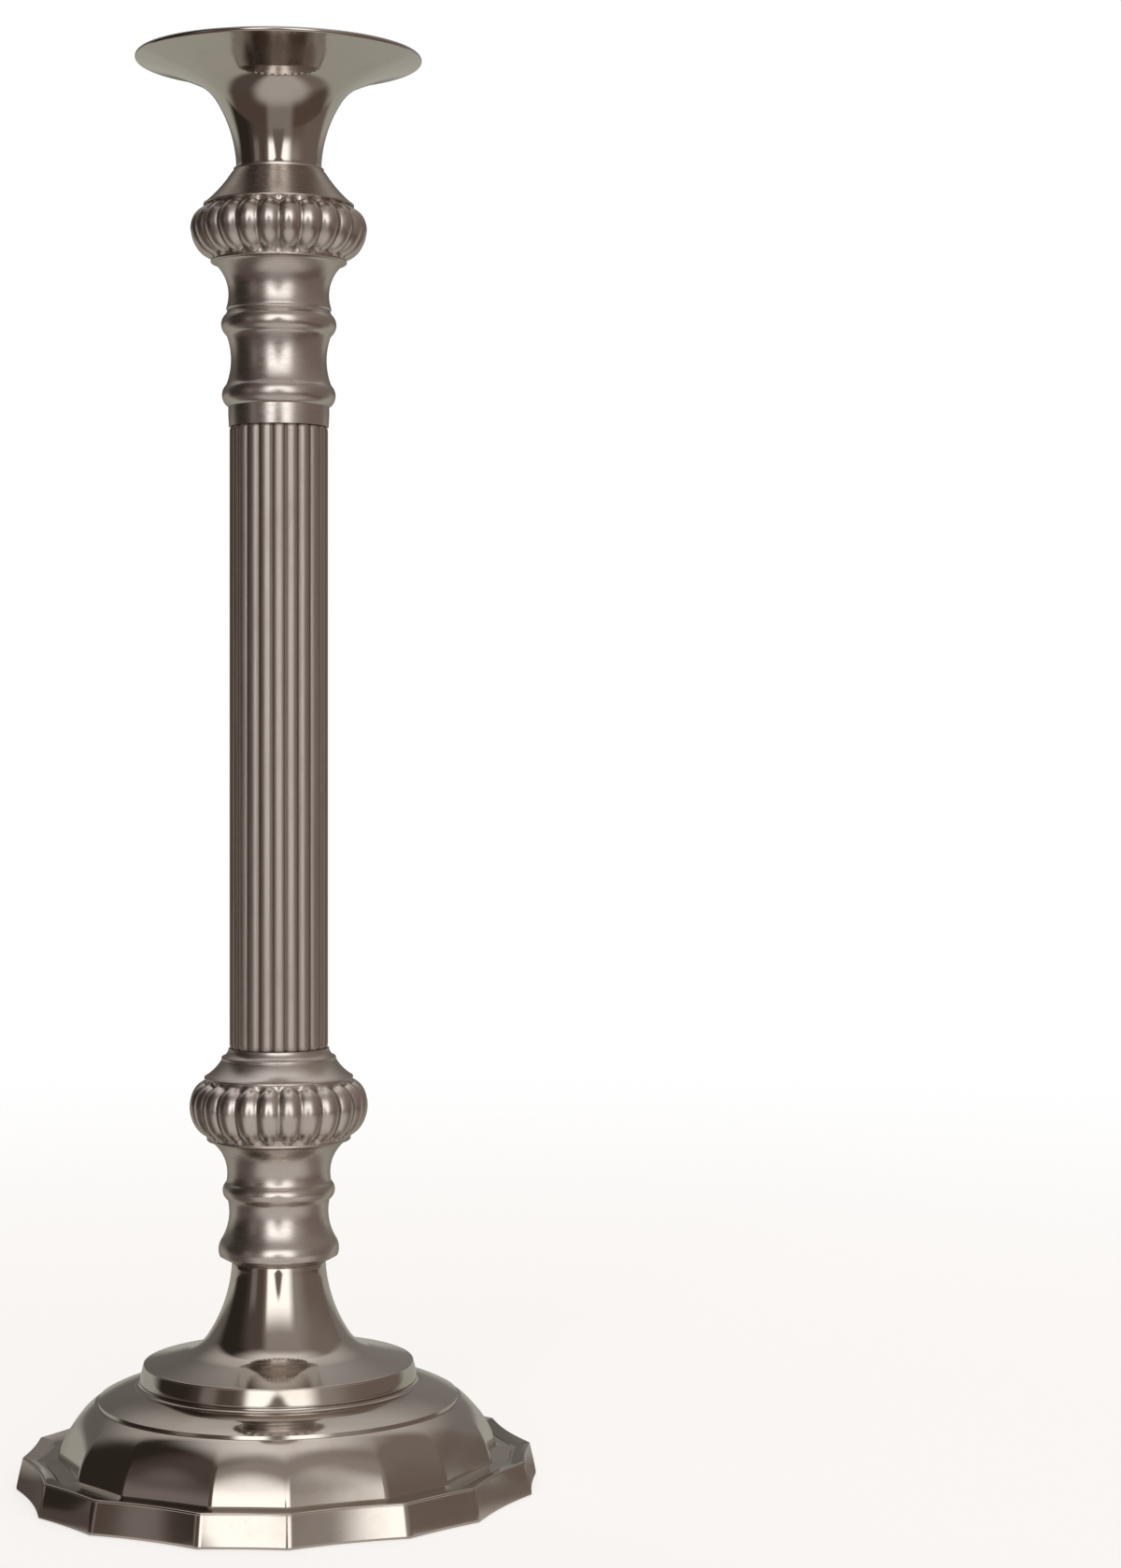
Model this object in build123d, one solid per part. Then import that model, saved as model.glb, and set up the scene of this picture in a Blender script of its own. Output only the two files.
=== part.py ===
from build123d import *
import math
import os

# A candlestick, 430 mm tall, that comes apart into fourteen pieces on one central tie rod.
# Millimetres, +Z up, the origin on the table under the middle of the base.

# ---------------------------------------------------------------- driving dimensions
overall_height = 430.0

# Heights of the seams between the pieces that show, from the bottom up
rim_bottom = 0.4          # the base's metal stays this far off the table
base_top = 31.3           # base to foot
foot_top = 67.0           # foot to lower knop
column_bottom = 131.2     # lower knop to column
column_top = 318.4        # column to upper knop
knop_top = 396.2          # upper knop to pan

# Candle seat
candle_bore_radius = 11.3
cup_outer_radius = 12.0
cup_floor = 377.0
cup_floor_thickness = 3.0
cup_top = 400.0
boss_radius = 7.0
boss_bottom = 364.0

# Pan
pan_radius = 43.1
pan_neck_wall = 0.75
pan_rim_thickness = 1.4

# Column
reed_count = 22
reed_radius = 2.6
column_radius = 14.9
column_bore_radius = 13.0
reed_end_chamfer = 0.7

# Knops
gadroon_count = 24
gadroon_groove_radius = 1.1
knop_bore_radius = 9.0
spigot_radius = 12.9
spigot_length = 9.0
running_gap = 0.1

# Foot
foot_disc_radius = 41.6
foot_disc_top = 37.0
foot_wall = 1.3

# Base
base_radius = 78.1
flange_height = 9.9
dome_foot_radius = 66.0
dome_foot_height = 9.2
wide_panel_angle = 26.0
narrow_panel_angle = 19.0
wide_rim_hollow = 2.5
narrow_rim_hollow = 2.2
panel_top_radius = 57.4
panel_top_height = 24.0
panel_pair_count = 8
first_cusp_angle = 2.0 - 90.0
ballast_cavity_radius = 70.0
rebate_radius = 72.6
crown_underside = 28.0

# Hidden hardware
rod_radius = 4.0
rod_bottom = 15.0
rod_hole_radius = 4.3
thread_gap = 0.05
washer_radius = 12.0
washer_thickness = 1.6
spring_washer_radius = 7.2
spring_washer_thickness = 2.0
spring_washer_slot = 1.6
nut_across_flats = 13.0
nut_height = 6.5
ballast_inner_radius = 22.0
ballast_outer_radius = 56.0
ballast_height = 12.0
plate_radius = 72.4
plate_thickness = 1.0
felt_radius = 71.8
felt_thickness = 1.4


# ---------------------------------------------------------------- shared shaping
def outline(start, *steps):
    """Edges through (radius, height) points. A step is a point for a straight run,
    a pair of points for an arc through the first to the second, or ("on", point) for
    an arc that carries on smoothly from the edge before it."""
    here = start
    edges = []
    for step in steps:
        if step[0] == "on":
            edges.append(TangentArc(here, step[1], tangent=edges[-1] % 1))
            here = step[1]
        elif isinstance(step[0], tuple):
            edges.append(ThreePointArc(here, step[0], step[1]))
            here = step[1]
        else:
            edges.append(Line(here, step))
            here = step
    return edges


def turned(start, *steps):
    """The solid that the closed outline sweeps in one turn about the centre line."""
    edges = outline(start, *steps, start)
    return revolve(Plane.XZ * make_face(edges), Axis.Z)


def cylinder(radius, bottom, top):
    """An upright cylinder on the centre line between two heights."""
    return Pos(0, 0, bottom) * Cylinder(
        radius, top - bottom, align=(Align.CENTER, Align.CENTER, Align.MIN)
    )


def gadrooned(body, equator_radius, equator_height, arc_radius):
    """Cuts the valleys between the lobes: rings that follow the bulge's own arc."""
    ring_centre = equator_radius - arc_radius + 0.35
    valley = Pos(ring_centre, 0, equator_height) * Rot(90, 0, 0) * Torus(
        arc_radius + 0.35, gadroon_groove_radius
    )
    # Only the outer part of each ring touches the bulge; the rest would cut the core
    keep = turned(
        (equator_radius - 4.6, equator_height - 8.6),
        (equator_radius + 3, equator_height - 8.6),
        (equator_radius + 3, equator_height + 7.4),
        (equator_radius - 4.6, equator_height + 7.4),
    )
    for index in range(gadroon_count):
        turn = Rot(0, 0, 360 * (index + 0.5) / gadroon_count)
        body -= turn * (valley & keep)
    return body


# ---------------------------------------------------------------- drip pan and candle cup
def make_candle_pan():
    """Spun trumpet: the neck stands on the knop and opens out into the drip pan.
    The inside repeats the outside, moved in by the neck's wall and up by the rim's."""
    neck_radius = 12.8
    flare = [(neck_radius, knop_top), (12.95, 399.2), (18.9, 416.8), (25.5, 422.6)]
    lip_bulge = 0.3
    rim = (pan_radius - lip_bulge, overall_height - pan_rim_thickness)

    def surface(inward, upward):
        (foot, throat, curl, spread, edge) = [
            (radius - inward, height + upward) for radius, height in (*flare, rim)
        ]
        neck_side = (foot[0] + 0.05, foot[1] + 1.5)
        return foot, neck_side, throat, curl, spread, edge

    foot, neck_side, throat, curl, spread, edge = surface(0, 0)
    outside = outline(foot, (neck_side, throat), ("on", curl), ("on", spread), ("on", edge))
    foot_in, side_in, throat_in, curl_in, spread_in, edge_in = surface(
        pan_neck_wall, pan_rim_thickness
    )
    inside = outline(
        foot_in, (side_in, throat_in), ("on", curl_in), ("on", spread_in), ("on", edge_in)
    )
    lip_out = (pan_radius, overall_height - pan_rim_thickness / 2)
    edge_round = ThreePointArc(edge, lip_out, edge_in)
    bottom = outline(foot, (foot_in[0], knop_top), foot_in)
    return revolve(Plane.XZ * make_face([*outside, edge_round, *inside, *bottom]), Axis.Z)


def make_candle_cup():
    """Drawn cup for the candle's end, with a threaded boss that screws onto the tie rod."""
    floor_bottom = cup_floor - cup_floor_thickness
    lip_middle = (candle_bore_radius + cup_outer_radius) / 2
    lip_height = (cup_outer_radius - candle_bore_radius) / 2
    cup = turned(
        (0, boss_bottom),
        (boss_radius, boss_bottom),
        (boss_radius, floor_bottom),
        (cup_outer_radius, floor_bottom),
        (cup_outer_radius, cup_top - lip_height),
        ((lip_middle, cup_top), (candle_bore_radius, cup_top - lip_height)),
        (candle_bore_radius, cup_floor),
        (0, cup_floor),
    )
    return cup - cylinder(rod_radius + thread_gap, boss_bottom, floor_bottom)


# ---------------------------------------------------------------- knops and column
def make_upper_knop():
    """Casting that carries the pan: it holds the cup above and plugs the column below."""
    equator_radius = 26.65
    equator_height = 377.5
    lower_arc = 5.0
    eighth = math.sqrt(0.5)
    body = turned(
        (0, knop_top),
        (13.6, knop_top),
        (13.6, 395.5),
        (14.2, 394.9),
        ((18.0, 389.85), (22.3, 385.6)),
        ((22.7, 385.2), (22.2, 384.9)),
        ((25.2, 382.3), (equator_radius, equator_height)),
        (
            (equator_radius - lower_arc * (1 - math.cos(math.pi / 8)),
             equator_height - lower_arc * math.sin(math.pi / 8)),
            (equator_radius - lower_arc * (1 - eighth), equator_height - lower_arc * eighth),
        ),
        (20.3, 368.5),
        ((20.5, 368.0), (20.0, 367.7)),
        (19.2, 367.5),
        ((15.5, 361.2), (15.9, 353.9)),
        (15.5, 353.4),
        (15.9, 352.3),
        ((17.35, 349.2), (15.9, 346.1)),
        (15.5, 345.4),
        ((14.4, 338.7), (15.5, 331.8)),
        (15.9, 330.9),
        ((17.1, 327.9), (15.9, 324.9)),
        (15.2, 324.5),
        (15.2, 321.8),
        (15.0, column_top),
        (spigot_radius, column_top),
        (spigot_radius, column_top - spigot_length),
        (0, column_top - spigot_length),
    )
    body = gadrooned(body, equator_radius, equator_height, 8.8)
    seat = cup_floor - cup_floor_thickness
    body -= cylinder(cup_outer_radius + running_gap, seat, knop_top)
    body -= cylinder(boss_radius + running_gap, boss_bottom, seat)
    body -= cylinder(knop_bore_radius, column_top - spigot_length, seat - 5)
    return body


def make_column_tube():
    """Drawn tube with rounded reeds all round, its reed ends eased off at both seams."""
    pitch_radius = column_radius - reed_radius
    section = Circle(pitch_radius)
    for index in range(reed_count):
        turn = Rot(0, 0, 360 * (index + 0.5) / reed_count)
        section += turn * Pos(pitch_radius, 0) * Circle(reed_radius)
    section -= Circle(column_bore_radius)
    tube = Pos(0, 0, column_bottom) * extrude(section, column_top - column_bottom)
    eased = turned(
        (0, column_bottom),
        (column_radius - reed_end_chamfer, column_bottom),
        (column_radius + 0.1, column_bottom + reed_end_chamfer),
        (column_radius + 0.1, column_top - reed_end_chamfer),
        (column_radius - reed_end_chamfer, column_top),
        (0, column_top),
    )
    return tube & eased


def make_lower_knop():
    """Casting between column and foot: a spigot up into the tube, one down into the foot."""
    equator_radius = 26.9
    equator_height = 114.0
    foot_spigot_radius = 12.7
    web_top = 75.0
    body = turned(
        (0, column_bottom + spigot_length),
        (spigot_radius, column_bottom + spigot_length),
        (spigot_radius, column_bottom),
        (15.1, column_bottom),
        ((15.4, 130.2), (16.5, 128.9)),
        ((17.2, 128.5), (17.2, 127.9)),
        ((19.2, 125.2), (22.0, 122.9)),
        ((22.4, 122.5), (22.2, 122.0)),
        ((25.4, 119.1), (equator_radius, equator_height)),
        ((25.7, 109.0), (21.5, 104.3)),
        ((21.6, 103.8), (21.0, 103.5)),
        (20.2, 103.2),
        ((16.1, 97.4), (15.8, 91.0)),
        ((16.9, 88.5), (15.8, 86.0)),
        (15.3, 85.5),
        ((15.2, 79.0), (17.4, 73.5)),
        ((18.1, 71.2), (17.8, 68.9)),
        (14.2, foot_top),
        (foot_spigot_radius, foot_top),
        (foot_spigot_radius, foot_top - spigot_length),
        (0, foot_top - spigot_length),
    )
    body = gadrooned(body, equator_radius, equator_height, 9.3)
    body -= cylinder(knop_bore_radius, web_top, column_bottom + spigot_length)
    body -= cylinder(rod_hole_radius, foot_top - spigot_length, web_top)
    return body


# ---------------------------------------------------------------- foot and base
def make_foot_trumpet():
    """Spun foot: a narrow neck that sweeps out to a disc with a turned-down edge."""
    neck_radius = 14.1
    sweep = [(neck_radius, foot_top), (15.9, 56.4), (21.5, 44.7), (28.0, 40.0)]
    disc_edge = (foot_disc_radius - 0.6, foot_disc_top)

    def surface(inward):
        return [(radius - inward, height - inward) for radius, height in (*sweep, disc_edge)]

    neck, side, curl, spread, edge = surface(0)
    outside = outline(
        neck,
        (side, curl),
        ("on", spread),
        ("on", edge),
        ("on", (foot_disc_radius, foot_disc_top - 0.7)),
        (foot_disc_radius, base_top),
        (foot_disc_radius - foot_wall, base_top),
    )
    neck_in, side_in, curl_in, spread_in, edge_in = surface(foot_wall)
    inside = outline(
        neck_in,
        (side_in, curl_in),
        ("on", spread_in),
        ("on", edge_in),
        (foot_disc_radius - foot_wall, edge_in[1] - 0.4),
        (foot_disc_radius - foot_wall, base_top),
    )
    closing = outline(neck, (neck_in[0], foot_top), neck_in)
    return revolve(Plane.XZ * make_face([*outside, *inside, *closing]), Axis.Z)


def cusp_angles():
    """Angles of the sixteen points of the rim, in order, wide and narrow panels in turn."""
    pitch = 360 / panel_pair_count
    angles = []
    for pair in range(panel_pair_count):
        angles.append(first_cusp_angle + pair * pitch)
        angles.append(first_cusp_angle + pair * pitch + wide_panel_angle)
    return angles


def on_circle(radius, angle):
    return (radius * math.cos(math.radians(angle)), radius * math.sin(math.radians(angle)))


def panels():
    """Middle angle, angular width and rim hollow of each of the sixteen panels."""
    angles = cusp_angles()
    for index, start in enumerate(angles):
        is_wide = index % 2 == 0
        width = wide_panel_angle if is_wide else narrow_panel_angle
        hollow = wide_rim_hollow if is_wide else narrow_rim_hollow
        yield start, start + width / 2, width, hollow


def make_scalloped_base():
    """Casting: a shouldered crown, a dome of scooped panels and a flat scalloped flange."""
    lip = 0.5
    body = turned(
        (0, base_top + 2.6),
        (foot_disc_radius - foot_wall - 0.25, base_top + 2.6),
        (foot_disc_radius - foot_wall - 0.25, base_top),
        (41.4, base_top),
        ((41.9, 30.6), (42.8, 30.3)),
        ((49.0, 28.6), (54.0, 26.4)),
        (54.2, 25.5),
        (55.0, 25.5),
        ((62.7, 19.0), (dome_foot_radius, dome_foot_height)),
        ((71.5, 8.9), (base_radius - lip, flange_height)),
        (base_radius, flange_height - lip),
        (base_radius, rim_bottom),
        (rebate_radius, rim_bottom),
        (rebate_radius, felt_thickness + plate_thickness),
        (ballast_cavity_radius, felt_thickness + plate_thickness),
        (ballast_cavity_radius, 5.4),
        (61.5, 5.9),
        (59.0, 10.0),
        (56.5, 18.0),
        (51.0, 23.0),
        (38.0, crown_underside),
        (0, crown_underside),
    )
    body -= cylinder(rod_hole_radius, crown_underside, base_top + 2.6)

    rim_edges = []
    for start, middle, width, hollow in panels():
        rim_edges.append(
            ThreePointArc(
                on_circle(base_radius, start),
                on_circle(base_radius - hollow, middle),
                on_circle(base_radius, start + width),
            )
        )
    body &= extrude(make_face(rim_edges), base_top + 5)

    # Each panel is scooped by a big leaning cylinder. It meets its neighbours' scoops at
    # the dome's foot, and runs out in an arch below the shoulder.
    above_flange = Pos(0, 0, dome_foot_height + 0.1) * Box(
        400, 400, 16, align=(Align.CENTER, Align.CENTER, Align.MIN)
    )
    for start, middle, width, hollow in panels():
        half_chord = dome_foot_radius * math.sin(math.radians(width / 2))
        depth = hollow / 2
        scoop_radius = (half_chord**2 + depth**2) / (2 * depth)
        foot_radius = dome_foot_radius * math.cos(math.radians(width / 2)) - depth
        lean = math.degrees(
            math.atan2(foot_radius - panel_top_radius, panel_top_height - dome_foot_height)
        )
        scoop = Rot(0, -lean, 0) * Pos(scoop_radius, 0) * Cylinder(scoop_radius, 80)
        body -= (Rot(0, 0, middle) * Pos(foot_radius, 0, dome_foot_height) * scoop) & above_flange
    return body


# ---------------------------------------------------------------- hidden hardware
def make_tie_rod():
    """M8 rod, its thread drawn as a plain cylinder with chamfered ends."""
    rod = cylinder(rod_radius, rod_bottom, cup_floor - cup_floor_thickness)
    return chamfer(rod.edges().filter_by(GeomType.CIRCLE), 0.8)


def make_base_washer():
    return cylinder(washer_radius, crown_underside - washer_thickness, crown_underside) - cylinder(
        rod_hole_radius, crown_underside - washer_thickness, crown_underside
    )


def make_spring_washer():
    """Split ring: one slanting saw cut through it."""
    top = crown_underside - washer_thickness
    bottom = top - spring_washer_thickness
    ring = cylinder(spring_washer_radius, bottom, top) - cylinder(rod_hole_radius, bottom, top)
    cut_length = spring_washer_radius * 2
    saw_cut = Pos(spring_washer_radius, 0, (bottom + top) / 2) * Rot(25, 0, 0) * Box(
        cut_length, spring_washer_slot, 3 * spring_washer_thickness
    )
    return ring - saw_cut


def make_base_nut():
    """M8 hexagon nut, corners chamfered top and bottom."""
    top = crown_underside - washer_thickness - spring_washer_thickness
    bottom = top - nut_height
    corner_radius = nut_across_flats / math.sqrt(3)
    hexagon = Pos(0, 0, bottom) * extrude(RegularPolygon(corner_radius, 6), nut_height)
    eased = turned(
        (0, bottom),
        (corner_radius - 0.9, bottom),
        (corner_radius + 0.1, bottom + 0.6),
        (corner_radius + 0.1, top - 0.6),
        (corner_radius - 0.9, top),
        (0, top),
    )
    return (hexagon & eased) - cylinder(rod_radius + thread_gap, bottom, top)


def make_ballast_ring():
    """Cast-iron weight that lies on the cover plate around the nut."""
    bottom = felt_thickness + plate_thickness
    top = bottom + ballast_height
    return turned(
        (ballast_inner_radius, bottom),
        (ballast_outer_radius, bottom),
        (ballast_outer_radius, top - 3),
        (ballast_outer_radius - 3, top),
        (ballast_inner_radius, top),
    )


def make_cover_plate():
    return cylinder(plate_radius, felt_thickness, felt_thickness + plate_thickness)


def make_felt_pad():
    return cylinder(felt_radius, 0, felt_thickness)


# ---------------------------------------------------------------- write the pieces
pieces = {
    "candle_pan": make_candle_pan,
    "candle_cup": make_candle_cup,
    "upper_knop": make_upper_knop,
    "column_tube": make_column_tube,
    "lower_knop": make_lower_knop,
    "foot_trumpet": make_foot_trumpet,
    "scalloped_base": make_scalloped_base,
    "tie_rod": make_tie_rod,
    "base_washer": make_base_washer,
    "spring_washer": make_spring_washer,
    "base_nut": make_base_nut,
    "ballast_ring": make_ballast_ring,
    "cover_plate": make_cover_plate,
    "felt_pad": make_felt_pad,
}

os.makedirs("parts", exist_ok=True)
for name, make in pieces.items():
    export_step(make(), f"parts/{name}.step")
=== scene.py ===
import cmath
import math

import bmesh
import bpy
from mathutils import Matrix

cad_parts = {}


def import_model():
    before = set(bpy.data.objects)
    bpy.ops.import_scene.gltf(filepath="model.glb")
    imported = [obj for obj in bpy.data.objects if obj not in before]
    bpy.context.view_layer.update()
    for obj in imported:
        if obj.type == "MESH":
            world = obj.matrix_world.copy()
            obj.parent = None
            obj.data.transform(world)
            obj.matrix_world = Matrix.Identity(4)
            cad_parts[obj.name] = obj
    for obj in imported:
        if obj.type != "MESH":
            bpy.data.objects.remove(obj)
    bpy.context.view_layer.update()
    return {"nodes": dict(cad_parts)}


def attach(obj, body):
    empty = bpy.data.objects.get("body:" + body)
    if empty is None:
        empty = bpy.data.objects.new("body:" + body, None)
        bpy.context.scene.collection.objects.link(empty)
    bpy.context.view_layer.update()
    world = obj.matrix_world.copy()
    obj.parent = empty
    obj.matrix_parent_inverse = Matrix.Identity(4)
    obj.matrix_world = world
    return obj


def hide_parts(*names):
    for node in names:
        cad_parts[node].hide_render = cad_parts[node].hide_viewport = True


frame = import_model()


# ------------------------------------------------------------------------------ camera
# A long lens at the height of the column's middle, straight in front of the candlestick.
# It is turned a little to the right, which puts the candlestick left of the middle.
camera_data = bpy.data.cameras.new("camera")
camera_data.lens = 70.8
camera_data.sensor_width = 36
camera_data.shift_y = -0.0441
camera = bpy.data.objects.new("camera", camera_data)
camera.location = (0, -0.9345, 0.2316)
camera.rotation_euler = (math.radians(90), 0, math.radians(-5.22))
bpy.context.scene.collection.objects.link(camera)
bpy.context.scene.camera = camera


# ---------------------------------------------------------------------- scalloped base
# The foot's weighted casting: a coved and shouldered crown, a dome of sixteen scooped
# panels, wide and narrow in turn, and a flat flange whose rim follows the panels.
# It is cast and silver plated, then polished; the tie rod pulls everything down on it.
mm = 0.001
base_radius = 78.1
rim_height = 9.9
rim_bottom = 0.4
dome_foot = (66.0, 9.2)
dome_top = (55.0, 25.5)
rebate_radius = 72.6
plate_top = 2.4
crown_seat = 31.3
panel_pairs = 8
wide_panel = 26.0
narrow_panel = 360 / panel_pairs - wide_panel
front = -90.0
first_cusp = front + 2.0
# How deep each kind of scoop is, at the rim and at the foot of the dome
wide_scoop = (3.3, 2.0)
narrow_scoop = (1.6, 1.1)
crown_top = crown_seat + 2.6
locating_radius = 40.0
rod_hole = 4.3
base_turns = 360


def outline(start, *steps, arc_step=5.0):
    """Points of a turned outline, as radius + height j in millimetres. A step is a point
    for a straight run, (through, end) for an arc, or ("on", end) for an arc that carries
    on smoothly. Arcs get a point every arc_step degrees."""
    points = [complex(*start)]
    heading = 1j
    for step in steps:
        here = points[-1]
        if step[0] == "on":
            end = complex(*step[1])
            half_turn = cmath.phase((end - here) / heading)
        elif isinstance(step[0], tuple):
            through, end = complex(*step[0]), complex(*step[1])
            half_turn = cmath.phase((end - through) / (through - here))
        else:
            end = complex(*step)
            half_turn = 0.0
        chord = end - here
        heading = chord / abs(chord) * cmath.exp(1j * half_turn)
        if abs(half_turn) < 1e-4:
            points.append(end)
            continue
        centre = here + chord / 2 * (1 + 1j / math.tan(half_turn))
        count = max(2, math.ceil(math.degrees(abs(2 * half_turn)) / arc_step))
        for index in range(1, count + 1):
            points.append(centre + (here - centre) * cmath.exp(2j * half_turn * index / count))
    return points


def spun(points, turns):
    """A full turn of an outline: an eighth is spun, then doubled three times. The outline
    closes on itself, unless it starts on the axis."""
    bm = bmesh.new()
    ring = [bm.verts.new((point.real * mm, 0, point.imag * mm)) for point in points]
    edges = [bm.edges.new(pair) for pair in zip(ring, ring[1:])]
    if points[0].real > 0:
        edges.append(bm.edges.new((ring[-1], ring[0])))
    bmesh.ops.spin(
        bm, geom=ring + edges, cent=(0, 0, 0), axis=(0, 0, 1), angle=math.pi / 4,
        steps=turns // 8, use_merge=False,
    )
    for doubling in range(3):
        geometry = bm.verts[:] + bm.edges[:] + bm.faces[:]
        copied = bmesh.ops.duplicate(bm, geom=geometry)["geom"]
        bmesh.ops.rotate(
            bm, verts=[item for item in copied if isinstance(item, bmesh.types.BMVert)],
            cent=(0, 0, 0), matrix=Matrix.Rotation(math.pi / 4 * 2**doubling, 3, "Z"),
        )
        bmesh.ops.remove_doubles(bm, verts=bm.verts, dist=1e-6)
    bmesh.ops.recalc_face_normals(bm, faces=bm.faces)
    return bm


def eased_edges(bm, width, sharpest=28.0):
    """Rounds every edge that turns by more than the given angle."""
    sharp = [
        edge for edge in bm.edges
        if edge.is_manifold and math.degrees(edge.calc_face_angle(0)) > sharpest
    ]
    bmesh.ops.bevel(
        bm, geom=sharp, offset=width * mm, offset_type="OFFSET", segments=2,
        profile=0.5, affect="EDGES", clamp_overlap=True, material=-1,
    )


def piece(name, bm, material, *nodes, slot):
    """Turns a bmesh into a smooth piece that stands for CAD nodes on the one body."""
    mesh = bpy.data.meshes.new(name)
    bm.to_mesh(mesh)
    bm.free()
    for polygon in mesh.polygons:
        polygon.use_smooth = True
    made = bpy.data.objects.new(name, mesh)
    bpy.context.scene.collection.objects.link(made)
    mesh.materials.append(material)
    weighted = made.modifiers.new("even_shading", "WEIGHTED_NORMAL")
    weighted.weight = 60
    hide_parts(*nodes)
    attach(made, "root")


def smooth_ramp(low, high, value):
    """0 up to low, 1 from high on, and a smooth rise between them."""
    share = min(1.0, max(0.0, (value - low) / (high - low)))
    return share * share * (3 - 2 * share)


def scallop_depth(radius, height, angle):
    """How far the scoops pull the surface in from the plain turned shape: most in the
    middle of a panel, nothing at the ridges, and running out at the top of the dome."""
    along = (angle - first_cusp) % (360 / panel_pairs)
    if along < wide_panel:
        off_middle = along / wide_panel * 2 - 1
        at_rim, at_dome_foot = wide_scoop
    else:
        off_middle = (along - wide_panel) / narrow_panel * 2 - 1
        at_rim, at_dome_foot = narrow_scoop
    outwards = smooth_ramp(dome_foot[0] + 3, base_radius - 2, radius)
    deepest = at_dome_foot + (at_rim - at_dome_foot) * outwards
    if radius < dome_foot[0] + 0.1:
        deepest *= 1 - smooth_ramp(dome_foot[1] + 4, dome_top[1] - 0.3, height)
    return deepest * (1 - off_middle**2)


base_outline = outline(
    (rod_hole, crown_top),
    (locating_radius, crown_top),
    (locating_radius, crown_seat),
    (41.4, crown_seat),
    ((41.9, 30.5), (43.0, 30.3)),
    ((49.2, 28.7), (54.0, 26.5)),
    (54.2, 25.5),
    dome_top,
    ((62.1, 18.4), dome_foot),
    ((70.5, 8.7), (75.5, rim_height)),
    ((76.1, 9.85), (76.3, 9.3)),
    ((77.25, 5.3), (base_radius, 1.2)),
    (base_radius, rim_bottom),
    (rebate_radius, rim_bottom),
    (rebate_radius, plate_top),
    (70.0, plate_top),
    (70.0, 5.4),
    (61.5, 5.9),
    (59.0, 10.0),
    (56.5, 18.0),
    (51.0, 23.0),
    (38.0, 28.0),
    (rod_hole, 28.0),
    arc_step=2.5,
)
base_mesh = spun(base_outline, base_turns)
for vertex in base_mesh.verts:
    radius = math.hypot(vertex.co.x, vertex.co.y) / mm
    height = vertex.co.z / mm
    on_rim = radius > rebate_radius + 1
    on_dome = radius > dome_top[0] - 0.1 and height > dome_foot[1] - 0.5
    if on_rim or on_dome:
        angle = math.degrees(math.atan2(vertex.co.y, vertex.co.x))
        shrink = 1 - scallop_depth(radius, height, angle) / radius
        vertex.co.x *= shrink
        vertex.co.y *= shrink
eased_edges(base_mesh, 0.2, sharpest=24.0)


def node(tree, kind, inputs=None, **settings):
    """Adds a shader node. An input is a value, or another node's output to link."""
    made = tree.nodes.new(kind)
    for key, value in settings.items():
        setattr(made, key, value)
    for key, value in (inputs or {}).items():
        if isinstance(value, bpy.types.NodeSocket):
            tree.links.new(value, made.inputs[key])
        else:
            made.inputs[key].default_value = value
    return made


def turned_place(tree, around, outwards, upwards):
    """Noise inputs that follow a turned piece: marks per radius round the axis, per metre
    outwards and per metre upwards."""
    place = node(tree, "ShaderNodeTexCoord").outputs["Object"]
    flat = node(tree, "ShaderNodeVectorMath", {0: place, 1: (1, 1, 0)}, operation="MULTIPLY")
    heading = node(tree, "ShaderNodeVectorMath", {0: flat.outputs[0]}, operation="NORMALIZE")
    radius = node(tree, "ShaderNodeVectorMath", {0: flat.outputs[0]}, operation="LENGTH")
    height = node(
        tree, "ShaderNodeVectorMath", {0: place, 1: (0, 0, upwards)}, operation="MULTIPLY"
    )
    vector = node(
        tree, "ShaderNodeVectorMath",
        {0: heading.outputs[0], 1: (around, around, around), 2: height.outputs[0]},
        operation="MULTIPLY_ADD",
    )
    spread = node(
        tree, "ShaderNodeMath", {0: radius.outputs["Value"], 1: outwards}, operation="MULTIPLY"
    )
    return place, {"Vector": vector.outputs[0], "W": spread.outputs[0], "Scale": 1.0}


def remap(tree, value, low, high, to_low, to_high):
    """Takes a value from one range smoothly to another, and holds it there beyond the ends."""
    made = node(
        tree, "ShaderNodeMapRange",
        {"Value": value, "From Min": low, "From Max": high, "To Min": to_low, "To Max": to_high},
        interpolation_type="SMOOTHSTEP",
    )
    return made.outputs["Result"]


def blend(tree, share, under, over):
    """Mixes two colours, each of them red, green and blue or another node's output."""
    under, over = [
        colour if isinstance(colour, bpy.types.NodeSocket) else (*colour, 1)
        for colour in (under, over)
    ]
    made = node(
        tree, "ShaderNodeMix", {"Factor": share, "A": under, "B": over}, data_type="RGBA"
    )
    return made.outputs["Result"]


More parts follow.
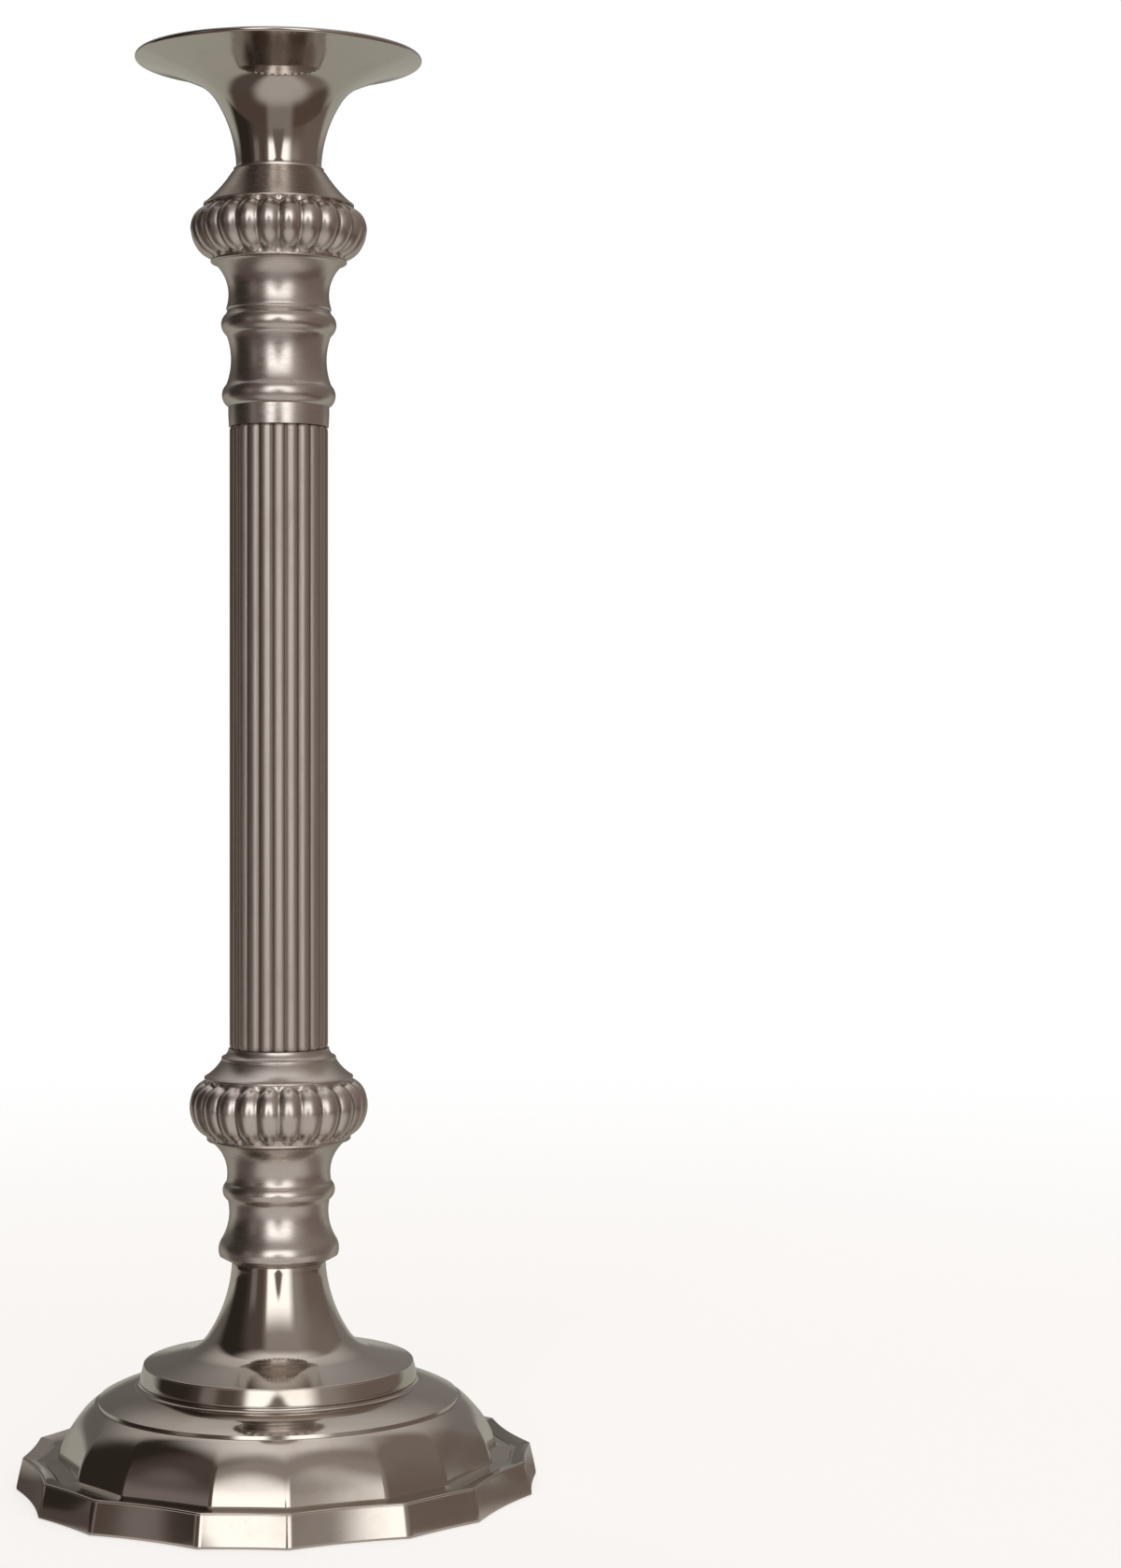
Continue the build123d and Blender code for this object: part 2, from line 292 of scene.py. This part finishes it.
def plated_metal(
    name, colour, stain, roughness, marks, mark_depth, recess_painted_shade=None, edge_tint=(1, 1, 1)
):
    """Silver plate. marks is how densely the finish's marks run round the axis, outwards
    and upwards; the plate is cloudy, a little stained, and has shade painted into its recesses."""
    material = bpy.data.materials.new(name)
    material.use_nodes = True
    tree = material.node_tree
    shader = tree.nodes["Principled BSDF"]
    shader.inputs["Metallic"].default_value = 1.0
    shader.inputs["Specular Tint"].default_value = (*edge_tint, 1)
    place, along_finish = turned_place(tree, *marks)
    clouds = node(
        tree, "ShaderNodeTexNoise",
        {"Vector": place, "Scale": 42.0, "Detail": 5.0, "Roughness": 0.62},
    ).outputs["Fac"]
    lines = node(
        tree, "ShaderNodeTexNoise", {**along_finish, "Detail": 1.5, "Roughness": 0.5},
        noise_dimensions="4D",
    ).outputs["Fac"]
    specks = node(
        tree, "ShaderNodeTexVoronoi", {"Vector": place, "Scale": 260.0, "Randomness": 1.0}
    ).outputs["Distance"]
    tone = blend(tree, remap(tree, clouds, 0.5, 0.8, 0.0, 0.5), colour, stain)
    tone = blend(tree, remap(tree, specks, 0.02, 0.12, 0.35, 0.0), tone, stain)
    # Painted shade: the colour is darkened where the recess attribute marks a hollow
    if recess_painted_shade:
        recess = node(tree, "ShaderNodeAttribute", attribute_name="recess").outputs["Fac"]
        tone = blend(tree, remap(tree, recess, 0.1, 1.0, 0.0, 0.85), tone, recess_painted_shade)
    uneven = node(
        tree, "ShaderNodeMath",
        {0: remap(tree, clouds, 0.3, 0.75, *roughness), 1: remap(tree, lines, 0.3, 0.7, 0.9, 1.1)},
        operation="MULTIPLY",
    )
    bump = node(tree, "ShaderNodeBump", {"Height": lines, "Distance": mark_depth * mm})
    tree.links.new(tone, shader.inputs["Base Color"])
    tree.links.new(uneven.outputs[0], shader.inputs["Roughness"])
    tree.links.new(bump.outputs["Normal"], shader.inputs["Normal"])
    return material


polished_plate = plated_metal(
    "polished_plate",
    colour=(0.66, 0.615, 0.57),
    stain=(0.50, 0.42, 0.35),
    roughness=(0.07, 0.13),
    marks=(3, 900, 900),
    mark_depth=0.0003,
)
piece("base_casting", base_mesh, polished_plate, "scalloped_base", slot="polished_plate")


# ------------------------------------------------------------------------ foot trumpet
# Spun from sheet and polished: a narrow neck that sweeps out to a disc with a
# turned-down, slightly sloping edge. It stands on the base's crown, round a locating step.
foot_top = 67.0
foot_wall = 1.3
disc_radius = 41.6
disc_top = 37.0
sheet_turns = 256
foot_sweep = [(14.1, foot_top), (15.9, 56.4), (21.5, 44.7), (28.0, 40.0), (40.1, disc_top)]
neck, side, curl, spread, edge = foot_sweep
neck_in, side_in, curl_in, spread_in, edge_in = [
    (radius - foot_wall, height - foot_wall) for radius, height in foot_sweep
]
foot_outside = outline(
    neck, (side, curl), ("on", spread), ("on", edge),
    ((40.45, disc_top - 0.15), (40.6, disc_top - 0.6)),
    ((41.2, 34.1), (disc_radius, crown_seat + 0.5)),
    (disc_radius - 0.3, crown_seat),
    (disc_radius - foot_wall, crown_seat),
    (39.6, disc_top - foot_wall - 1.0),
    arc_step=2.0,
)
foot_inside = outline(
    neck_in, (side_in, curl_in), ("on", spread_in), ("on", edge_in), arc_step=4.0
)
top_lip = [complex(neck_in[0], foot_top)]
foot_mesh = spun(foot_outside + foot_inside[::-1] + top_lip, sheet_turns)
eased_edges(foot_mesh, 0.25)
piece("foot_spinning", foot_mesh, polished_plate, "foot_trumpet", slot="polished_plate")


# -------------------------------------------------------------------------- lower knop
# A satin-finished casting: a banded shoulder, a gadrooned bulge of twenty-four lobes,
# two concave necks with a ring between them, and a flange over the foot. A spigot at
# each end centres it in the column above and in the foot below.
gadroon_count = 24
points_per_gadroon = 14
knop_turns = gadroon_count * points_per_gadroon
knop_bore = 9.0
column_bottom = 131.2
spigot_length = 9.0
lower_equator = (26.9, 114.0)
lower_outline = outline(
    (knop_bore, column_bottom + spigot_length),
    (12.9, column_bottom + spigot_length),
    (12.9, column_bottom),
    (15.1, column_bottom),
    ((15.4, 130.2), (16.5, 128.9)),
    ((17.2, 128.5), (17.2, 127.9)),
    ((19.2, 125.2), (22.0, 122.9)),
    ((22.4, 122.5), (22.2, 122.0)),
    ((25.4, 119.1), lower_equator),
    ((25.7, 109.0), (21.5, 104.3)),
    ((21.6, 103.8), (21.0, 103.5)),
    (20.2, 103.2),
    ((16.1, 97.4), (15.8, 91.0)),
    ((16.9, 88.5), (15.8, 86.0)),
    (15.3, 85.5),
    ((15.2, 79.0), (17.4, 73.5)),
    ((18.1, 71.2), (17.8, 68.9)),
    (14.2, foot_top),
    (12.7, foot_top),
    (12.7, foot_top - spigot_length),
    (knop_bore, foot_top - spigot_length),
    arc_step=4.0,
)


def carve_gadroons(bm, equator, top, bottom, arc_radius):
    """Cuts lobes into a bulge between two heights. Each lobe is round across; the surface
    drops to a valley beside it, a little more towards its ends, and has shade painted down there."""
    deepest = 1.3
    end_dip = 0.3
    darkest = 0.5
    bulge_inside = 17.0
    lobe_angle = 360 / gadroon_count
    half_width = math.radians(lobe_angle / 2) * equator[0]
    core = complex(equator[0] - arc_radius, equator[1])
    recess = bm.verts.layers.float.new("recess")
    for vertex in bm.verts:
        radius = math.hypot(vertex.co.x, vertex.co.y) / mm
        height = vertex.co.z / mm
        if radius < bulge_inside or not bottom < height < top:
            continue
        angle = math.degrees(math.atan2(vertex.co.y, vertex.co.x)) % lobe_angle
        across = abs(angle / lobe_angle * 2 - 1)
        to_end = min(top - height, height - bottom)
        into_end = max(0.0, 1 - to_end / half_width)
        reach = min(1.0, across**2 + end_dip * into_end**2)
        drop = deepest * reach
        outwards = complex(radius, height) - core
        outwards /= abs(outwards)
        vertex.co.x *= 1 - drop * outwards.real / radius
        vertex.co.y *= 1 - drop * outwards.real / radius
        vertex.co.z -= drop * outwards.imag * mm
        # Painted shade: the valleys are darkened in colour through the recess attribute
        vertex[recess] = darkest * reach**3


lower_mesh = spun(lower_outline, knop_turns)
carve_gadroons(lower_mesh, lower_equator, top=121.9, bottom=104.4, arc_radius=9.3)
eased_edges(lower_mesh, 0.12, sharpest=40.0)
satin_plate = plated_metal(
    "satin_plate",
    colour=(0.77, 0.72, 0.69),
    stain=(0.58, 0.51, 0.47),
    roughness=(0.25, 0.32),
    marks=(4, 1100, 1100),
    mark_depth=0.001,
    # The colour of the shade painted into the valleys between the lobes
    recess_painted_shade=(0.16, 0.12, 0.095),
    edge_tint=(0.6, 0.56, 0.53),
)
piece("lower_knop_casting", lower_mesh, satin_plate, "lower_knop", slot="satin_plate")


# ------------------------------------------------------------------------- column tube
# Drawn tube with twenty-two rounded reeds, brushed along its length. It is held between
# the spigots of the two knops, and each reed is nosed over where it meets a knop.
column_top = 318.4
column_radius = 14.9
column_bore = 13.0
reed_count = 22
points_per_reed = 16
reed_radius = 2.6
reed_nose = 1.6
nose_drop = 0.75
darkest_depth = 0.8
nose_steps = [reed_nose * share for share in (0.1, 0.25, 0.5, 0.75, 1)]
column_outline = outline(
    (column_bore, column_bottom),
    (column_radius, column_bottom),
    *[(column_radius, column_bottom + step) for step in nose_steps],
    *[(column_radius, column_top - step) for step in reversed(nose_steps)],
    (column_radius, column_top),
    (column_bore, column_top),
)
column_mesh = spun(column_outline, reed_count * points_per_reed)
recess = column_mesh.verts.layers.float.new("recess")
for vertex in column_mesh.verts:
    if math.hypot(vertex.co.x, vertex.co.y) / mm < column_bore + 0.5:
        continue
    height = vertex.co.z / mm
    along = math.degrees(math.atan2(vertex.co.y, vertex.co.x)) % (360 / reed_count)
    off_crest = math.radians(along - 180 / reed_count)
    pitch_radius = column_radius - reed_radius
    crest = pitch_radius * math.cos(off_crest) + math.sqrt(
        reed_radius**2 - (pitch_radius * math.sin(off_crest)) ** 2
    )
    to_end = min(height - column_bottom, column_top - height)
    nose = nose_drop * (1 - math.sqrt(1 - max(0.0, 1 - to_end / reed_nose) ** 2))
    vertex.co.x *= (crest - nose) / column_radius
    vertex.co.y *= (crest - nose) / column_radius
    # Painted shade: the grooves between the reeds are darkened in colour through the recess
    # attribute
    vertex[recess] = min(1.0, (column_radius - crest) / darkest_depth)
brushed_plate = plated_metal(
    "brushed_plate",
    colour=(0.66, 0.60, 0.565),
    stain=(0.50, 0.43, 0.385),
    roughness=(0.42, 0.50),
    marks=(55, 0, 30),
    mark_depth=0.01,
    # The colour of the shade painted into the grooves between the reeds
    recess_painted_shade=(0.27, 0.22, 0.195),
    edge_tint=(0.6, 0.56, 0.53),
)
piece("reeded_column", column_mesh, brushed_plate, "column_tube", slot="brushed_plate")


# -------------------------------------------------------------------------- upper knop
# The lower knop's taller partner: a conical shoulder, the same gadrooned bulge, then two
# necks and two rings down to a plain collar. Its counterbore holds the candle cup.
knop_top = 396.2
counterbore_radius = 12.1
boss_hole = 7.1
cup_seat = 374.0
boss_end = 369.0
upper_equator = (26.65, 377.5)
upper_outline = outline(
    (counterbore_radius, knop_top),
    (13.6, knop_top),
    (13.6, 395.5),
    (14.2, 394.9),
    ((18.0, 389.85), (22.3, 385.6)),
    ((22.7, 385.2), (22.2, 384.9)),
    ((25.2, 382.3), upper_equator),
    ((24.9, 372.6), (20.6, 368.7)),
    (20.3, 368.5),
    ((20.5, 368.0), (20.0, 367.7)),
    (19.2, 367.5),
    ((15.5, 361.2), (15.9, 353.9)),
    (15.5, 353.4),
    (15.9, 352.3),
    ((17.35, 349.2), (15.9, 346.1)),
    (15.5, 345.4),
    ((14.4, 338.7), (15.5, 331.8)),
    (15.9, 330.9),
    ((17.1, 327.9), (15.9, 324.9)),
    (15.2, 324.5),
    (15.2, 321.8),
    (15.0, column_top),
    (12.9, column_top),
    (12.9, column_top - spigot_length),
    (knop_bore, column_top - spigot_length),
    (knop_bore, boss_end),
    (boss_hole, boss_end),
    (boss_hole, cup_seat),
    (counterbore_radius, cup_seat),
    arc_step=4.0,
)
upper_mesh = spun(upper_outline, knop_turns)
carve_gadroons(upper_mesh, upper_equator, top=384.8, bottom=368.6, arc_radius=8.8)
eased_edges(upper_mesh, 0.12, sharpest=40.0)
piece("upper_knop_casting", upper_mesh, satin_plate, "upper_knop", slot="satin_plate")


# -------------------------------------------------------------------------- candle pan
# The polished trumpet that catches the wax. It is spun from sheet: its neck stands on
# the upper knop round the candle cup, and its lip is rounded over.
pan_radius = 43.1
pan_top = 430.0
pan_wall = 0.75
pan_lip = 1.4
pan_flare = [
    (12.8, knop_top), (12.85, knop_top + 1.5), (18.9, 416.8), (25.5, 422.6),
    (pan_radius - 0.3, pan_top - pan_lip),
]
foot, side, curl, spread, rim = pan_flare
foot_in, side_in, curl_in, spread_in, rim_in = [
    (radius - pan_wall, height + pan_lip) for radius, height in pan_flare
]
pan_outside = outline(
    foot, (side, curl), ("on", spread), ("on", rim),
    ((pan_radius, pan_top - pan_lip / 2), rim_in), arc_step=2.0,
)
pan_inside = outline(foot_in, (side_in, curl_in), ("on", spread_in), ("on", rim_in), arc_step=2.0)
neck_lip = [complex(foot_in[0], knop_top)]
pan_mesh = spun(pan_outside + pan_inside[-2::-1] + neck_lip, sheet_turns)
eased_edges(pan_mesh, 0.1)
piece("pan_spinning", pan_mesh, polished_plate, "candle_pan", slot="polished_plate")


# -------------------------------------------------------------------------- candle cup
# Drawn cup that grips the candle's end. Its threaded boss screws onto the tie rod, so
# tightening the nut under the base clamps the pan, knops, column and foot together.
cup_radius = 12.0
candle_bore = 11.3
cup_floor = 377.0
cup_top = 400.0
cup_lip = 0.35
corner = 0.8
thread_radius = 4.05
boss_radius = 7.0
boss_bottom = 364.0
cup_outline = outline(
    (0, cup_seat),
    (thread_radius, cup_seat),
    (thread_radius, boss_bottom),
    (boss_radius, boss_bottom),
    (boss_radius, cup_seat),
    (cup_radius, cup_seat),
    (cup_radius, cup_top - cup_lip),
    (((cup_radius + candle_bore) / 2, cup_top), (candle_bore, cup_top - cup_lip)),
    (candle_bore, cup_floor + corner),
    ("on", (candle_bore - corner, cup_floor)),
    (0, cup_floor),
    arc_step=20.0,
)
cup_mesh = spun(cup_outline, sheet_turns // 2)
cup_plate = plated_metal(
    "cup_plate",
    colour=(0.58, 0.53, 0.48),
    stain=(0.40, 0.33, 0.26),
    roughness=(0.24, 0.42),
    marks=(4, 1500, 1500),
    mark_depth=0.008,
)
piece("socket_cup", cup_mesh, cup_plate, "candle_cup", slot="cup_plate")


# ------------------------------------------------------------- tie rod, washers and nut
# Hidden in the stack: a bright zinc-plated steel rod with a plain washer, a split washer
# and a hexagon nut. They keep their CAD shapes and only get a surface.
def plain_surface(name, metallic, roughness, low, high, scale, stretch, bump_depth):
    """A surface whose colour and roughness run from low to high with a fine grain and
    broad patches, and whose relief follows the grain alone."""
    material = bpy.data.materials.new(name)
    material.use_nodes = True
    tree = material.node_tree
    shader = tree.nodes["Principled BSDF"]
    shader.inputs["Metallic"].default_value = metallic
    place = node(tree, "ShaderNodeTexCoord").outputs["Object"]
    stretched = node(
        tree, "ShaderNodeVectorMath", {0: place, 1: stretch}, operation="MULTIPLY"
    ).outputs[0]
    grain = node(
        tree, "ShaderNodeTexNoise", {"Vector": stretched, "Scale": scale, "Detail": 6.0}
    ).outputs["Fac"]
    patches = node(
        tree, "ShaderNodeTexNoise", {"Vector": place, "Scale": 60.0, "Detail": 3.0}
    ).outputs["Fac"]
    mixed = node(tree, "ShaderNodeMath", {0: grain, 1: patches}, operation="ADD").outputs[0]
    tone = blend(tree, remap(tree, mixed, 0.75, 1.25, 0.0, 1.0), low, high)
    bump = node(tree, "ShaderNodeBump", {"Height": grain, "Distance": bump_depth * mm})
    tree.links.new(tone, shader.inputs["Base Color"])
    tree.links.new(remap(tree, mixed, 0.7, 1.3, *roughness), shader.inputs["Roughness"])
    tree.links.new(bump.outputs["Normal"], shader.inputs["Normal"])
    return material


def dress(material, slot, *nodes):
    """Gives CAD nodes that keep their own shape their surface."""
    for name in nodes:
        kept = frame["nodes"][name]
        kept.data.materials.clear()
        kept.data.materials.append(material)


zinc_steel = plain_surface(
    "zinc_steel",
    metallic=1.0,
    roughness=(0.28, 0.45),
    low=(0.42, 0.43, 0.44),
    high=(0.62, 0.63, 0.64),
    scale=900.0,
    stretch=(1, 1, 0.4),
    bump_depth=0.01,
)
dress(zinc_steel, "zinc_steel", "tie_rod", "base_washer", "spring_washer", "base_nut")


# ------------------------------------------------------------------------ ballast ring
# A rough sand-cast iron ring that gives the base its weight. It lies on the cover plate,
# inside the hollow of the casting, and keeps its CAD shape.
ballast_iron = plain_surface(
    "ballast_iron",
    metallic=0.6,
    roughness=(0.62, 0.85),
    low=(0.055, 0.05, 0.047),
    high=(0.13, 0.12, 0.11),
    scale=420.0,
    stretch=(1, 1, 1),
    bump_depth=0.25,
)
dress(ballast_iron, "ballast_iron", "ballast_ring")


# ------------------------------------------------------------------------- cover plate
# A thin rolled steel disc that closes the underside and sits in the casting's rebate.
# It is zinc plated like the rod.
dress(zinc_steel, "zinc_steel", "cover_plate")


# ---------------------------------------------------------------------------- felt pad
# A disc of dark green wool felt, glued to the cover plate so that the candlestick can't
# scratch what it stands on.
felt = plain_surface(
    "felt",
    metallic=0.0,
    roughness=(0.9, 1.0),
    low=(0.018, 0.045, 0.03),
    high=(0.04, 0.085, 0.06),
    scale=1400.0,
    stretch=(1, 1, 1),
    bump_depth=0.2,
)
felt.node_tree.nodes["Principled BSDF"].inputs["Sheen Weight"].default_value = 0.5
dress(felt, "felt", "felt_pad")


# ------------------------------------------------------------------------------- stage
# A pale table that fades out at its edge into a plain white surround. What the metal
# reflects is a room instead: cloth and floor, brown walls, window, ceiling, backdrop.
table_radius = 1.2
floor_ahead = (0.27, 0.235, 0.22)


def is_camera_ray(tree):
    return node(tree, "ShaderNodeLightPath").outputs["Is Camera Ray"]


def maths(tree, operation, *values):
    made = node(tree, "ShaderNodeMath", dict(enumerate(values)), operation=operation)
    return made.outputs[0]


def front_bearing(tree, split):
    """How far to the right of straight ahead a place lies, in radians."""
    ahead = maths(tree, "MULTIPLY", split.outputs["Y"], -1.0)
    return maths(tree, "ARCTAN2", split.outputs["X"], ahead)


def make_table():
    """Nearly white to the eye. In reflections it is a cloth, pale ahead and darker to both
    sides, with a floor beyond it, and as pale as the backdrop behind."""
    cloth_ahead = (0.50, 0.46, 0.43)
    cloth_right = (0.20, 0.165, 0.145)
    cloth_left = (0.10, 0.08, 0.07)
    floor_right = (0.11, 0.076, 0.062)
    floor_left = (0.10, 0.07, 0.06)
    behind = (0.40, 0.39, 0.345)

    table_bm = bmesh.new()
    bmesh.ops.create_circle(table_bm, cap_ends=True, segments=96, radius=table_radius)
    mesh = bpy.data.meshes.new("table")
    table_bm.to_mesh(mesh)
    table_bm.free()
    table = bpy.data.objects.new("table", mesh)
    bpy.context.scene.collection.objects.link(table)
    material = bpy.data.materials.new("pale_table")
    material.use_nodes = True
    tree = material.node_tree
    shader = tree.nodes["Principled BSDF"]
    shader.inputs["Base Color"].default_value = (0.86, 0.85, 0.83, 1)
    shader.inputs["Roughness"].default_value = 0.9
    shader.inputs["Specular IOR Level"].default_value = 0.0
    shader.inputs["Emission Color"].default_value = (1, 1, 1, 1)
    shader.inputs["Emission Strength"].default_value = 0.6
    place = node(tree, "ShaderNodeTexCoord").outputs["Object"]
    distance = node(tree, "ShaderNodeVectorMath", {0: place}, operation="LENGTH").outputs["Value"]
    bearing = front_bearing(tree, node(tree, "ShaderNodeSeparateXYZ", {"Vector": place}))
    aside = maths(tree, "ABSOLUTE", bearing)

    cloth = blend(tree, remap(tree, bearing, 0.8, 1.5, 0.0, 1.0), cloth_ahead, cloth_right)
    cloth = blend(tree, remap(tree, bearing, -1.2, -0.6, 1.0, 0.0), cloth, cloth_left)
    floor = blend(tree, remap(tree, bearing, 0.4, 0.7, 0.0, 1.0), floor_ahead, floor_right)
    floor = blend(tree, remap(tree, bearing, -0.6, -0.35, 1.0, 0.0), floor, floor_left)
    shown = blend(tree, remap(tree, distance, 0.42, 0.62, 0.0, 1.0), cloth, floor)
    shown = blend(tree, remap(tree, aside, 1.75, 2.15, 0.0, 1.0), shown, behind)
    reflected = node(tree, "ShaderNodeEmission", {"Color": shown})
    fade = remap(tree, distance, 0.25, table_radius - 0.05, 0.0, 1.0)
    clear = node(tree, "ShaderNodeBsdfTransparent")
    seen = node(
        tree, "ShaderNodeMixShader",
        {0: fade, 1: shader.outputs["BSDF"], 2: clear.outputs["BSDF"]},
    )
    either = node(
        tree, "ShaderNodeMixShader",
        {0: is_camera_ray(tree), 1: reflected.outputs["Emission"], 2: seen.outputs["Shader"]},
    )
    tree.links.new(either.outputs["Shader"], tree.nodes["Material Output"].inputs["Surface"])
    mesh.materials.append(material)


def make_room():
    """A warm dim room: a pale backdrop behind, a wide bright window in front with whoever
    stands before it as a dark gap, brown walls. The camera sees plain white instead."""
    wall_left = (0.10, 0.075, 0.065)
    wall_right = (0.155, 0.118, 0.10)
    wall_far_left = (0.032, 0.025, 0.020)
    wall_far_right = (0.185, 0.145, 0.127)
    wall_upper_right = (0.23, 0.19, 0.165)
    behind_right = (0.23, 0.21, 0.195)
    behind_left = (0.15, 0.14, 0.125)
    backdrop = (0.43, 0.42, 0.375)
    ceiling_behind = (0.52, 0.49, 0.465)
    ceiling = (0.86, 0.82, 0.79)
    dim_lamp = (0.22, 0.19, 0.175)
    window_surround = (0.34, 0.30, 0.275)
    daylight = (1.65, 1.62, 1.57)
    dark_gap = (0.17, 0.145, 0.13)
    plain_white = (1, 1, 1)

    world = bpy.data.worlds.new("room")
    bpy.context.scene.world = world
    world.use_nodes = True
    tree = world.node_tree
    direction = node(tree, "ShaderNodeTexCoord").outputs["Generated"]
    split = node(tree, "ShaderNodeSeparateXYZ", {"Vector": direction})

    # Bearing in degrees right of the front, and rise above the horizon
    bearing = maths(tree, "DEGREES", front_bearing(tree, split))
    rise = maths(tree, "DEGREES", maths(tree, "ARCSINE", split.outputs["Z"]))
    aside = maths(tree, "ABSOLUTE", bearing)

    def past(value, edge, softness):
        return remap(tree, value, edge - softness, edge + softness, 0.0, 1.0)

    def before(value, edge, softness):
        return maths(tree, "SUBTRACT", 1.0, past(value, edge, softness))

    def within(*shares):
        total = shares[0]
        for share in shares[1:]:
            total = maths(tree, "MULTIPLY", total, share)
        return total

    def laid_over(under, colour, *shares):
        return blend(tree, within(*shares), under, colour)

    # Walls: brown, darker to the left and darkest square to the left
    room = laid_over(wall_left, wall_right, past(bearing, 0, 25))
    room = laid_over(room, wall_far_left, before(bearing, -72, 14))
    # Behind it is greyer, and the backdrop is palest low down
    at_back = past(aside, 122, 9)
    room = laid_over(room, behind_right, at_back, past(bearing, 0, 5))
    room = laid_over(room, behind_left, at_back, before(bearing, 0, 5))
    room = laid_over(room, backdrop, at_back, before(rise, 3, 5))
    # The right wall is lit at the far right and higher up
    off_back = before(aside, 122, 9)
    room = laid_over(room, wall_far_right, past(bearing, 66, 9), off_back)
    room = laid_over(room, wall_upper_right, past(bearing, 48, 18), off_back, past(rise, 22, 14))
    # The ceiling comes down lower behind
    room = laid_over(room, ceiling_behind, past(rise, 36, 16), at_back)
    room = laid_over(room, ceiling, past(rise, 66, 16))
    # A small dim lamp to the left
    off_lamp = maths(tree, "ABSOLUTE", maths(tree, "ADD", bearing, 60))
    room = laid_over(
        room, dim_lamp, before(off_lamp, 7, 4), past(rise, -8, 5), before(rise, 20, 8)
    )
    # The floor before the window
    room = laid_over(
        room, floor_ahead, past(bearing, -27, 8), before(bearing, 32, 8), before(rise, -5, 6)
    )
    # The window, with a lighter surround on its right, and the dark gap before it
    room = laid_over(
        room, window_surround, past(bearing, -30, 10), before(bearing, 56, 20),
        past(rise, -6, 10), before(rise, 66, 16),
    )
    window = within(
        past(bearing, -27, 4), before(bearing, 28, 9), past(rise, -9, 5), before(rise, 33, 13)
    )
    off_gap = maths(tree, "ABSOLUTE", maths(tree, "ADD", bearing, 1.0))
    gap_reach = maths(tree, "ADD", off_gap, maths(tree, "MULTIPLY", rise, 0.36))
    gap = within(before(gap_reach, 8.5, 3.5), before(rise, 17, 6))
    room = laid_over(room, daylight, window, maths(tree, "SUBTRACT", 1.0, gap))
    room = laid_over(room, dark_gap, gap, past(rise, -26, 6))
    shown = blend(tree, is_camera_ray(tree), room, plain_white)
    tree.links.new(shown, tree.nodes["Background"].inputs["Color"])


make_table()
make_room()
bpy.context.scene.view_settings.view_transform = "Standard"
